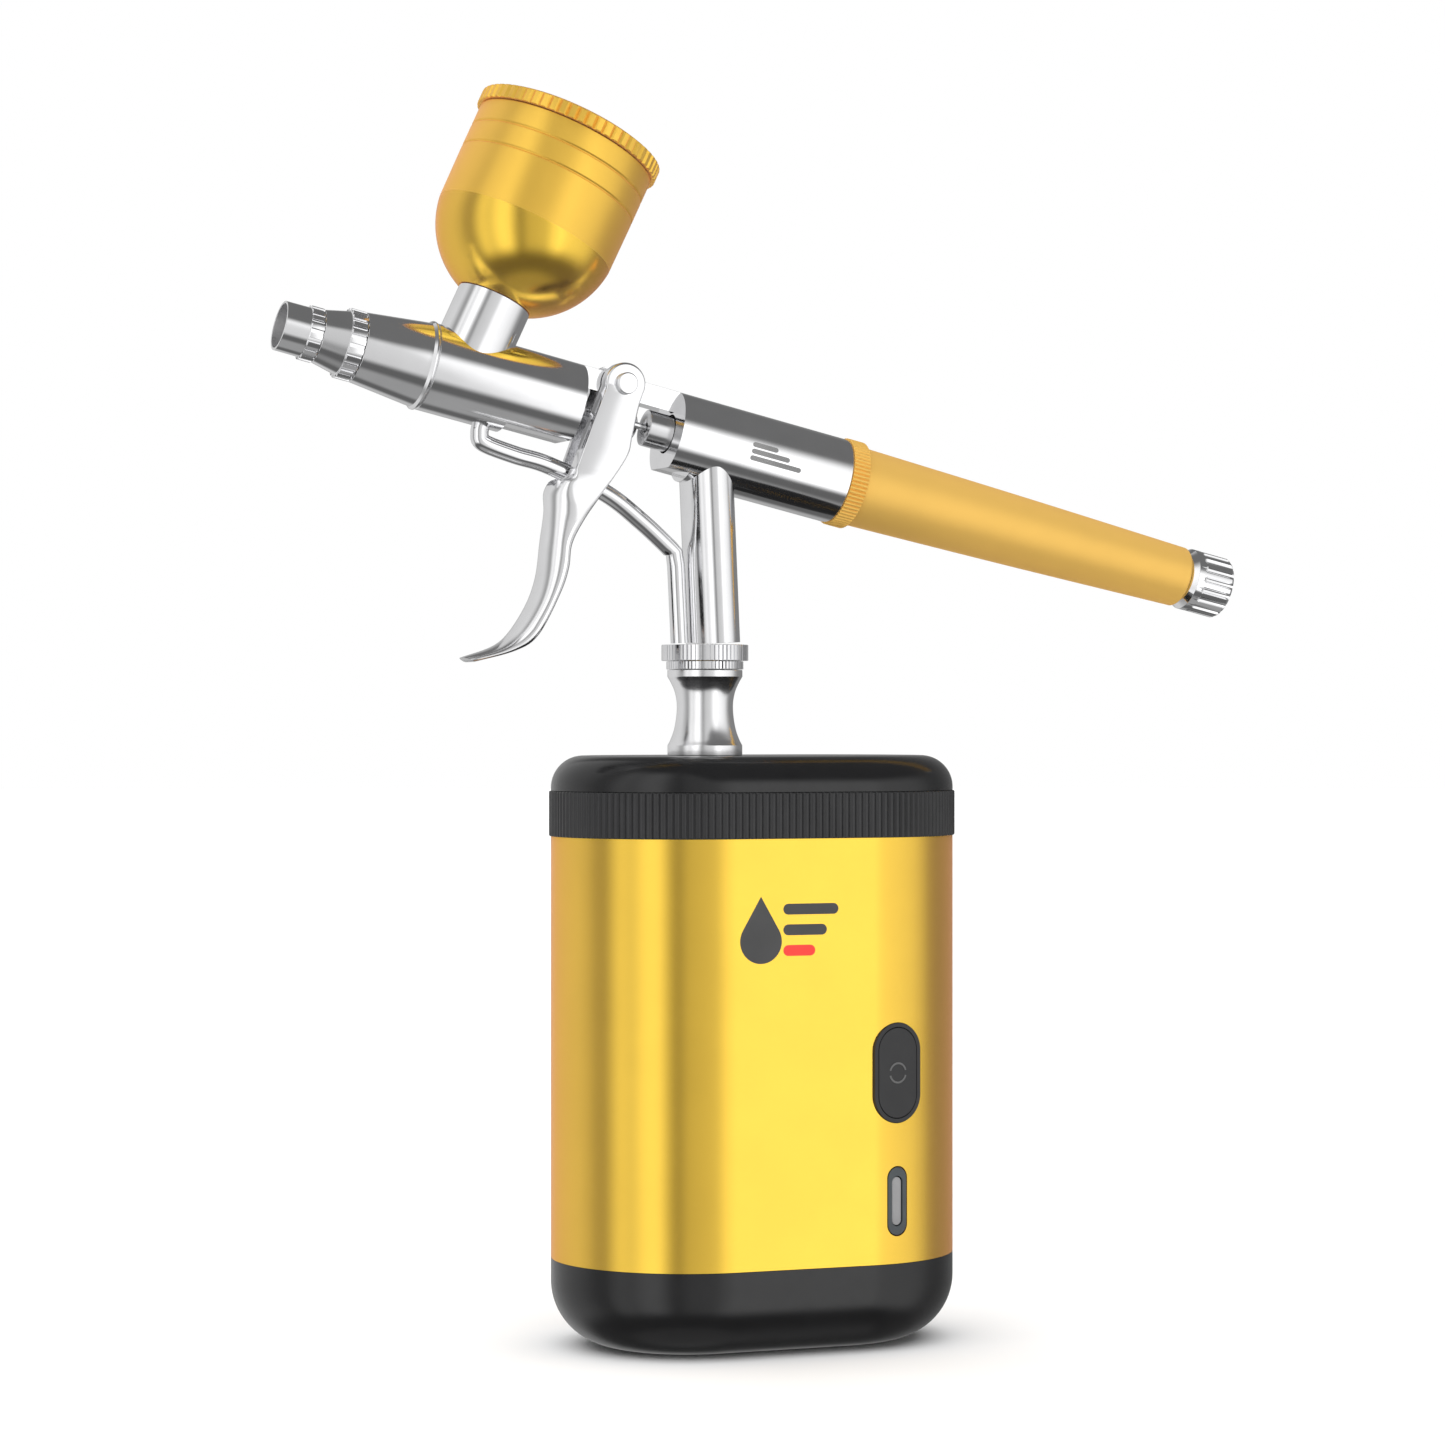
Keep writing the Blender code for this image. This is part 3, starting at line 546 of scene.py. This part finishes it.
def make_ring_sign(face):
    """A raised ring on the button, broken at its two sides."""
    for name, start in (("ring_sign_top", 15), ("ring_sign_bottom", 195)):
        route = [Vector((x, y, face)) for x, y in arc((0, 0), 1.7, start, start + 150, 30)]
        bar = flat_bar(name, route, 0.32, 0.06)
        place = FRONT_PLATE @ Matrix.Translation((0, BUTTON_Z * MM, 0))
        add_piece(name, bar, place, "power_button", ENGRAVED)


def flat_bar(name, route, width, high):
    """A thin printed or raised line along a route in the plane Z = const."""
    bm = bmesh.new()
    rows = []
    for i, point in enumerate(route):
        along = (route[min(i + 1, len(route) - 1)] - route[max(i - 1, 0)]).normalized()
        side = Vector((-along.y, along.x, 0)) * width / 2
        lift = Vector((0, 0, high))
        corners = (point - side, point + side, point + side + lift, point - side + lift)
        rows.append([bm.verts.new(corner * MM) for corner in corners])
    for near, far in zip(rows, rows[1:]):
        for k in range(4):
            bm.faces.new((near[k - 1], near[k], far[k], far[k - 1]))
    bm.faces.new(rows[0])
    bm.faces.new(rows[-1])
    return finished(bm, name)


def make_front_mark():
    """A plain sign of a drop and three spray lines, printed on the flat front."""
    front = Matrix.Translation((-2.9 * MM, -END_R * MM, 74.9 * MM)) @ Matrix.Rotation(math.pi / 2, 4, "X")
    tip = (0.0, 5.85)
    drop = [tip] + arc((0.0, -1.95), 3.9, 150, 390, 30)
    drop = moved(drop, -5.35, 0)
    marks = [("mark_drop", drop, INK_DARK)]
    for index, (length, ink) in enumerate(((10.4, INK_DARK), (8.2, INK_DARK), (6.0, INK_RED))):
        line = moved([(y, x) for x, y in stadium(1.9, length)], 0.6 + length / 2 - 1.75, 3.6 - 3.6 * index)
        marks.append((f"mark_line_{index + 1}", line[::-1], ink))
    for name, outline, ink in marks:
        add_piece(name, prism(name, outline, 0.0, 0.03), front, "compressor", ink)


def make_coupling():
    waist = [(6.7, 106.9), (6.15, 108.0), (5.5, 109.9), (5.1, 112.4), (5.06, 114.6), (5.45, 116.6)]
    waist += [(6.15, 118.2), (6.73, 119.2)]
    waist = [(point.x, point.y) for point in smooth_route(waist, 5)]
    profile = [(6.7, TOP), *waist, (6.73, 120.4), (3.4, 120.4), (3.4, TOP)]
    turned_piece("outlet_coupling", profile, OUTLET, edge=0.15, material=COUPLING_CHROME)
    for node, low, high, teeth in (("lock_ring", 120.5, 121.95, 62), ("coupling_nut", 122.05, 124.9, 60)):
        outer = span(node, OUTLET)[2]
        profile = [(3.4, low), (outer, low), (outer, high), (3.4, high)]
        limit = grooves(teeth, outer, 0.5, 0.36, 0.1)
        turned_piece(node, profile, OUTLET, edge=0.12, limit=limit, steps=tooth_steps(teeth, 16))


# ---------------------------------------------------------------- airbrush


def make_gun_body():
    low = span("gun_body", BARREL)[0] + 0.1
    outline = [(0.9, low), (BARREL_R, low), (BARREL_R, 33.4), (5.9, 33.4), (5.9, 41.0)]
    bore = [(4.7, 41.0), (4.7, 3.0), (3.6, 3.0), (3.6, -2.0), (0.9, -2.0)]
    body = swept("gun_body", rounded(outline + bore, 0.12, True), round_plan(192), True)
    reach = BARREL_R + 2
    gap_front = -18.7
    bridge_low = 3.7
    bridge_half = 2.15
    flat_low = -6.35
    gap_boxes = (
        ((gap_front, -reach, -reach), (0.0, reach, bridge_low)),
        ((gap_front, -reach, bridge_low - 1), (0.0, -bridge_half, reach)),
        ((gap_front, bridge_half, bridge_low - 1), (0.0, reach, reach)),
        ((-31.0, -reach, -reach), (gap_front + 1, reach, flat_low)),
        ((-1.0, -reach, -reach), (4.0, reach, flat_low)),
    )
    barrel_level = BARREL @ Matrix.Rotation(-math.pi / 2, 4, "Y")
    cutters = [(block("gap", lowest, highest), barrel_level) for lowest, highest in gap_boxes]
    stand_in("gun_body", joined("gun_body", body, BARREL, cutters), BARREL)


def make_barrel_mark():
    """Three plain bars printed on the barrel."""
    along = BARREL.col[2].xyz
    for index, (angle, length) in enumerate(((9, 10.0), (0, 7.5), (-9, 5.0))):
        out = Matrix.Rotation(math.radians(angle), 3, along) @ Vector((0, -1, 0))
        origin = BARREL @ Vector((0, 0, (13.5 + length / 2) * MM)) + out * (BARREL_R - 0.02) * MM
        place = upright_frame(origin, out, along)
        bar = prism("barrel_bar", stadium(0.9, length, 8), 0.0, 0.05)
        add_piece(f"barrel_bar_{index + 1}", bar, place, "gun", ENGRAVED_GREY)


def saddle(radius):
    """A cylinder on the barrel's axis that trims what stands on the barrel."""
    profile = [(0, 60.0), (radius, 60.0), (radius, -80.0), (0, -80.0)]
    return swept("saddle", profile, round_plan(128)), BARREL


def make_stem():
    profile = [(1.2, 0.0), (STEM_R, 0.0), (STEM_R, 33.0), (1.2, 33.0)]
    stem = swept("grip_stem", profile, round_plan(), True)
    stem.transform(Matrix.Diagonal((1.0, STEM_DEPTH, 1.0, 1.0)))
    stand_in("grip_stem", joined("grip_stem", stem, STEM, [saddle(BARREL_R - SOLDER_DEPTH)]), STEM)


def make_air_pipe():
    corners = [
        (-34.2, -7.0), (-34.1, -8.9), (-33.0, -10.3), (-27.0, -10.9), (-20.5, -11.1), (-9.1, -13.2),
        (-1.15, -16.5), (6.1, -20.3),
    ]
    bend = smooth_route([(s, n, 0) for s, n in corners], 8)
    route = [*bend, Vector((7.0, -22.6, 0)), Vector((10.8, -35.8, 0))]
    route = [Vector((-point.y, 0, point.x)) for point in route]
    stand_in("air_pipe", tube_mesh("air_pipe", route, 1.6), BARREL)


TRIGGER_FRONT = (
    (-28.4, -47.9), (-23.0, -44.5), (-20.5, -41.1), (-18.5, -35.5), (-18.0, -30.6), (-18.6, -25.0),
    (-19.2, -19.3), (-20.0, -16.0), (-19.3, -13.6), (-18.2, -12.8), (-17.3, -11.0), (-16.2, -3.0),
    (-15.0, 5.0),
)
TRIGGER_REAR = (
    (-26.6, -48.3), (-20.0, -44.7), (-16.7, -41.2), (-14.4, -33.1), (-13.8, -28.3), (-14.2, -24.2),
    (-13.2, -20.0), (-10.5, -13.0), (-8.0, -6.5), (-7.9, -3.0), (-7.9, 2.5), (-7.6, 5.2),
)
ARM_OUTER = 4.9
ARM_INNER = 2.45
FINGER_TOP = -11.0
BLADE_END = -48.0
TIP_HALF = 2.6


def evenly(route, count):
    """Points at equal distances along a chain."""
    runs = [0.0]
    for near, far in zip(route, route[1:]):
        runs.append(runs[-1] + (far - near).length)
    points = []
    k = 0
    for i in range(count):
        target = runs[-1] * i / (count - 1)
        while k < len(route) - 2 and runs[k + 1] < target:
            k += 1
        share = (target - runs[k]) / (runs[k + 1] - runs[k])
        points.append(route[k].lerp(route[k + 1], share))
    return points


def trigger_section(front, rear):
    """One cross-section of the trigger: a rounded front face, flat sides and eased rear edges."""
    depth = (rear - front).length
    along = (rear - front) / depth
    finger = min(max((FINGER_TOP - front.y) / 6.0, 0.0), 1.0)
    tip = min(max((front.y - BLADE_END) / 9.0, 0.0), 1.0)
    half = TIP_HALF + (ARM_OUTER - TIP_HALF) * math.sqrt(tip)
    nose = min(0.7 + 4.2 * finger, 0.8 * depth)
    ease = min(0.5 + 0.9 * finger, 0.3 * depth)
    side = []
    for k in range(11):
        angle = math.pi / 2 * k / 10
        side.append((nose * (1 - math.cos(angle)), half * math.sin(angle)))
    for k in range(6):
        angle = math.pi / 2 * k / 5
        side.append((depth - ease + ease * math.sin(angle), half - ease + ease * math.cos(angle)))
    side += [(reach, -z) for reach, z in reversed(side[1:])]
    points = [front + along * reach for reach, _ in side]
    return [Vector((point.x, point.y, z)) * MM for point, (_, z) in zip(points, side)]


def trigger_blade():
    bm = bmesh.new()
    fronts = evenly(smooth_route(TRIGGER_FRONT, 8), 90)
    rears = evenly(smooth_route(TRIGGER_REAR, 8), 90)
    rings = []
    for front, rear in zip(fronts, rears):
        rings.append([bm.verts.new(place) for place in trigger_section(front, rear)])
    for near, far in zip(rings, rings[1:]):
        for k in range(len(near)):
            bm.faces.new((near[k - 1], near[k], far[k], far[k - 1]))
    bm.faces.new(rings[0])
    bm.faces.new(rings[-1])
    return finished(bm, "trigger")


def make_trigger():
    """A blade with a rounded face, forked into two ears that hang on the pivot pin."""
    pivot = BARREL_SIDE @ Matrix.Translation((-11.3 * MM, 5.9 * MM, 0))
    ear = rounded([(0, ARM_OUTER), (3.75, ARM_OUTER), (3.75, -ARM_OUTER), (0, -ARM_OUTER)], 0.5, False)
    ear = swept("ear", ear, round_plan(96))
    lobe = rounded([(0, -ARM_INNER), (4.35, -ARM_INNER), (4.35, -ARM_OUTER), (0, -ARM_OUTER)], 0.3, False)
    lobe = swept("lobe", lobe, round_plan(96))
    lobe_place = BARREL_SIDE @ Matrix.Translation((-9.3 * MM, 0, 0))
    slot = [(-30.0, 14.0), (-30.0, -14.6), (-19.5, -14.6), (-12.0, -21.5), (0.0, -21.5), (0.0, 14.0)]
    slot = prism("slot", slot, -ARM_INNER, ARM_INNER)
    bore = swept("bore", [(0, 9.0), (1.5, 9.0), (1.5, -9.0), (0, -9.0)], round_plan(48))
    trigger = joined("trigger", trigger_blade(), BARREL_SIDE, [(ear, pivot), (lobe, lobe_place)], "UNION")
    trigger = joined("trigger", trigger, BARREL_SIDE, [(slot, BARREL_SIDE), (bore, pivot)])
    stand_in("trigger", trigger, BARREL_SIDE, TRIGGER_CHROME)
    head = ARM_OUTER + 0.3
    pin = [(0, head + 0.8), (1.94, head + 0.8), (1.94, head), (1.2, head)]
    pin += [(radius, -height) for radius, height in reversed(pin)]
    turned_piece("pivot_pin", pin, pivot, closed=False, edge=0.3, steps=64)


def make_spray_end():
    head = [(3.0, -46.4), (7.6, -46.4), (7.95, -46.75), (7.95, -47.05), (7.5, -47.5), (7.45, -48.2)]
    head += [(6.2, -59.1), (3.0, -59.1)]
    turned_piece("spray_head", head, BARREL, edge=0.1)
    low, high, outer = span("nozzle_cap", BARREL)
    cap = [(3.2, high + 0.2), (outer, high + 0.2), (outer, -61.9), (5.65, -61.95), (4.66, low), (3.2, low)]
    teeth = 24
    limit = grooves(teeth, outer, 0.5, 0.5, 0.001)
    turned_piece("nozzle_cap", cap, BARREL, edge=0.12, limit=limit, steps=tooth_steps(teeth, 16))
    low, high, outer = span("air_cap", BARREL)
    mouth = [(1.5, high + 0.2), (outer, high + 0.2), (outer, -68.8), (4.4, -68.85), (4.37, low), (3.92, low)]
    mouth += [(3.92, -68.2), (1.5, -68.2)]
    teeth = 18
    limit = grooves(teeth, outer, 0.42, 0.5, 0.001)
    air_cap = turned_piece("air_cap", mouth, BARREL, edge=0.1, limit=limit, steps=tooth_steps(teeth, 16))
    air_cap.data.materials.append(BORE_GREY)
    for face in air_cap.data.polygons:
        if face.center.xy.length < 4.0 * MM:
            face.material_index = 1


def make_needle_slider():
    profile = [(0.9, 45.0), (2.2, 45.0), (2.2, 7.0), (4.4, 7.0), (4.4, 5.0)]
    profile += [(3.3, 5.0), (3.3, -4.6), (0.9, -4.3)]
    turned_piece("needle_slider", profile, BARREL, edge=0.2, steps=96)


def make_needle_spring():
    """A coil of six turns round the barrel's axis, in a mesh of its own."""
    low = 7.7
    high = 29.2
    turns = 6
    sides = 24
    coil_r = 3.4
    route = []
    for i in range(turns * sides + 1):
        angle = math.tau * i / sides
        height = low + (high - low) * i / (turns * sides)
        route.append(Vector((coil_r * math.cos(angle), coil_r * math.sin(angle), height)))
    spring = stand_in("needle_spring", tube_mesh("needle_spring", route, 0.35, 10), BARREL)
    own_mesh(spring)


def make_handle():
    low = span("handle", BARREL)[0]
    collar = 8.05
    outline = [(6.2, low), (collar, low), (collar, 36.7), (7.25, 36.9)]
    taper = smooth_route([(7.2, 37.2), (6.5, 71.0), (5.6, 105.0)], 8)
    outline += [(point.x, point.y) for point in taper] + [(5.3, 105.4)]
    bore = [(4.9, 105.4), (4.6, 104.0), (3.3, 103.8), (3.3, 97.0), (4.6, 95.0), (4.9, 42.0), (6.2, 41.5)]
    teeth = 64
    limit = grooves(teeth, collar, 0.3, 0.6, 0.26)
    turned_piece("handle", outline + bore, BARREL, edge=0.2, limit=limit, steps=tooth_steps(teeth))


def make_end_knob():
    low = 106.8
    high = 114.3
    outer = span("end_knob", BARREL)[2]
    flutes = 18
    flute_start = 108.0
    nose = 0.8

    def limit(share, height):
        """Round-nosed flutes that run out through the rear face."""
        if height < flute_start:
            return outer
        run = min((height - flute_start) / nose, 1.0)
        half_width = 0.29 * math.sqrt(1 - (1 - run) ** 2)
        off_centre = abs((share * flutes) % 1.0 - 0.5)
        if off_centre >= half_width:
            return outer
        return outer - 0.5 * math.sqrt(1 - (off_centre / half_width) ** 2) * math.sqrt(run)

    rows = [(outer, flute_start + nose * i / 6) for i in range(7)]
    profile = [(0, 62.0), (1.5, 62.0), (1.5, 88.0), (3.0, 88.0), (3.0, 105.6), (4.6, 105.6), (5.1, 106.2)]
    profile += [(outer, low), *rows, (outer, high - 0.5), (outer - 0.35, high), (0, high)]
    turned_piece("end_knob", profile, BARREL, False, 0.15, limit, tooth_steps(flutes, 16))


# ---------------------------------------------------------------- gravity cup


def make_cup_neck():
    top = 14.85
    profile = [(4.4, 0.0), (6.7, 0.0), (6.7, top), (4.4, top)]
    neck = swept("cup_neck", profile, round_plan(), True)
    stand_in("cup_neck", joined("cup_neck", neck, CUP, [saddle(BARREL_R - SOLDER_DEPTH)]), CUP)


def make_cup():
    """A polished round bottom below a crease, then a satin wall with two fine grooves."""
    outer = span("cup", CUP)[2]
    rim = span("cup", CUP)[1] + 0.1
    crease = 28.0
    centre = 29.9
    foot_r = 6.9
    neck = math.degrees(math.acos(foot_r / outer))
    bottom = arc((0, centre), outer, -neck, -math.degrees(math.asin((centre - crease) / outer)), 40)
    wall = []
    for middle in (37.8, 41.9):
        wall += [(outer, middle - 0.3), (outer - 0.2, middle - 0.06), (outer - 0.2, middle + 0.06)]
        wall += [(outer, middle + 0.3)]
    inner = arc((0, centre), outer - 1.0, 0, -72, 24)
    profile = bottom + wall + [(outer, rim), (outer - 1.0, rim)] + inner + [(4.4, bottom[0][1])]
    mesh = swept("cup", rounded(profile, 0.06, True), round_plan(192), True)
    cup = stand_in("cup", mesh, CUP)
    cup.data.materials.append(CUP_SATIN)
    for face in cup.data.polygons:
        if face.center.z > crease * MM:
            face.material_index = 1


def make_cup_lid():
    """A screw lid with a serrated skirt and a shallow dome."""
    low, high, outer = span("cup_lid", CUP)
    skirt = 46.1
    dome = [(0.8, high), (9.0, high - 0.15), (14.6, high - 0.5), (15.9, high - 0.75)]
    profile = dome + [(outer, high - 1.2), (outer, skirt), (15.1, skirt), (15.1, low), (14.2, low)]
    profile += [(14.2, 47.7), (0.8, 47.7)]
    teeth = 60
    limit = grooves(teeth, outer, 0.4, 0.42, 0.16)
    steps = tooth_steps(teeth)
    turned_piece("cup_lid", profile, CUP, edge=0.2, limit=limit, steps=steps, material=CUP_SATIN)


# ---------------------------------------------------------------- studio


CAMERA_TURN = 21.5
CEILING_LEVEL = 0.15
GROUND_LEVEL = 0.12
NADIR_LEVEL = 0.32
SKY_STOPS = (
    (-180, 0.62), (-125, 0.68), (-112, 0.56), (-103, 0.38), (-93, 0.34), (-84, 0.78), (-78, 0.98),
    (-68, 0.8), (-60, 1.05), (-54, 1.25), (-44, 1.25), (-37, 0.72), (-31, 0.32), (-26, 0.32), (-20, 0.6),
    (-10, 0.64), (5, 0.72), (11, 1.05), (20, 1.3), (24, 1.5), (32, 1.1), (50, 1.0), (66, 0.85),
    (76, 0.62), (86, 0.33), (98, 0.22), (150, 0.22), (160, 0.4), (180, 0.55),
)


def make_sky():
    """Soft studio surround: tall light panels at eye level, a grey ceiling and a dark ground."""
    world = bpy.data.worlds.new("studio")
    bpy.context.scene.world = world
    world.use_nodes = True
    nodes = world.node_tree.nodes
    links = world.node_tree.links

    def maths(operation, first, second=None):
        node = nodes.new("ShaderNodeMath")
        node.operation = operation
        for socket, value in zip(node.inputs, (first, second)):
            if isinstance(value, (int, float)):
                socket.default_value = value
            elif value is not None:
                links.new(value, socket)
        return node.outputs[0]

    def step(value, low, high):
        node = nodes.new("ShaderNodeMapRange")
        node.interpolation_type = "SMOOTHSTEP"
        node.inputs["From Min"].default_value = low
        node.inputs["From Max"].default_value = high
        links.new(value, node.inputs["Value"])
        return node.outputs["Result"]

    def blend(share, first, second):
        node = nodes.new("ShaderNodeMix")
        node.data_type = "FLOAT"
        links.new(share, node.inputs["Factor"])
        for socket, value in ((node.inputs["A"], first), (node.inputs["B"], second)):
            if isinstance(value, float):
                socket.default_value = value
            else:
                links.new(value, socket)
        return node.outputs["Result"]

    split = nodes.new("ShaderNodeSeparateXYZ")
    links.new(nodes.new("ShaderNodeTexCoord").outputs["Generated"], split.inputs["Vector"])
    bearing = maths("ARCTAN2", split.outputs["X"], maths("MULTIPLY", split.outputs["Y"], -1.0))
    share = maths("MULTIPLY_ADD", bearing, 1 / math.tau)
    share.node.inputs[2].default_value = 0.5
    ramp = nodes.new("ShaderNodeValToRGB")
    stops = ramp.color_ramp.elements
    while len(stops) < len(SKY_STOPS):
        stops.new(0.5)
    for stop, (degrees, level) in zip(stops, SKY_STOPS):
        stop.position = (degrees + 180) / 360
        stop.color = (level, level, level, 1.0)
    links.new(share, ramp.inputs["Fac"])
    height = maths("ARCSINE", split.outputs["Z"])
    to_the_left = step(bearing, math.radians(10), math.radians(-22))
    lowered = maths("SUBTRACT", height, maths("MULTIPLY", to_the_left, math.radians(30)))
    above = step(lowered, math.radians(14), math.radians(37))
    below = step(height, math.radians(-29), math.radians(-47))
    deep = step(height, math.radians(-58), math.radians(-72))
    ground = blend(deep, GROUND_LEVEL, NADIR_LEVEL)
    lit = blend(below, blend(above, ramp.outputs["Color"], CEILING_LEVEL), ground)
    seen = nodes.new("ShaderNodeLightPath").outputs["Is Camera Ray"]
    nodes["Background"].inputs["Color"].default_value = (1.0, 1.0, 1.0, 1.0)
    links.new(blend(seen, lit, 1.0), nodes["Background"].inputs["Strength"])


def make_floor():
    bm = bmesh.new()
    bmesh.ops.create_circle(bm, cap_ends=True, segments=64, radius=6.0)
    mesh = bpy.data.meshes.new("floor")
    bm.to_mesh(mesh)
    bm.free()
    floor = bpy.data.objects.new("floor", mesh)
    bpy.context.scene.collection.objects.link(floor)
    paper = Finish("paper_look", 0.0, 0.9)
    paper.colour((0.88, 0.88, 0.88), (0.9, 0.9, 0.9), paper.noise(20))
    floor.data.materials.append(paper.material)
    floor.visible_glossy = False


def make_overhead_light():
    """A very broad overhead light, which whitens the floor and stays out of the metal's reflections."""
    light = bpy.data.lights.new("overhead", "SUN")
    light.angle = math.radians(100)
    light.energy = 3.4
    lamp = bpy.data.objects.new("overhead", light)
    lamp.visible_glossy = False
    bpy.context.scene.collection.objects.link(lamp)


def make_camera():
    """Level with the middle of the object, to the left of its front."""
    data = bpy.data.cameras.new("camera")
    data.sensor_width = 36.0
    data.lens = 99.65
    camera = bpy.data.objects.new("camera", data)
    camera.location = (-0.2690, -0.6679, 0.111)
    camera.rotation_euler = (math.pi / 2, 0, math.radians(-CAMERA_TURN))
    bpy.context.scene.collection.objects.link(camera)
    bpy.context.scene.camera = camera


make_camera()
make_sky()
make_floor()
make_overhead_light()
bpy.context.scene.view_settings.view_transform = "Standard"

finish_nodes()
make_casing()
make_ribbed_band()
make_controls()
make_front_mark()
make_coupling()
make_gun_body()
make_barrel_mark()
make_stem()
make_air_pipe()
make_trigger()
make_spray_end()
make_needle_slider()
make_needle_spring()
make_handle()
make_end_knob()
make_cup_neck()
make_cup()
make_cup_lid()
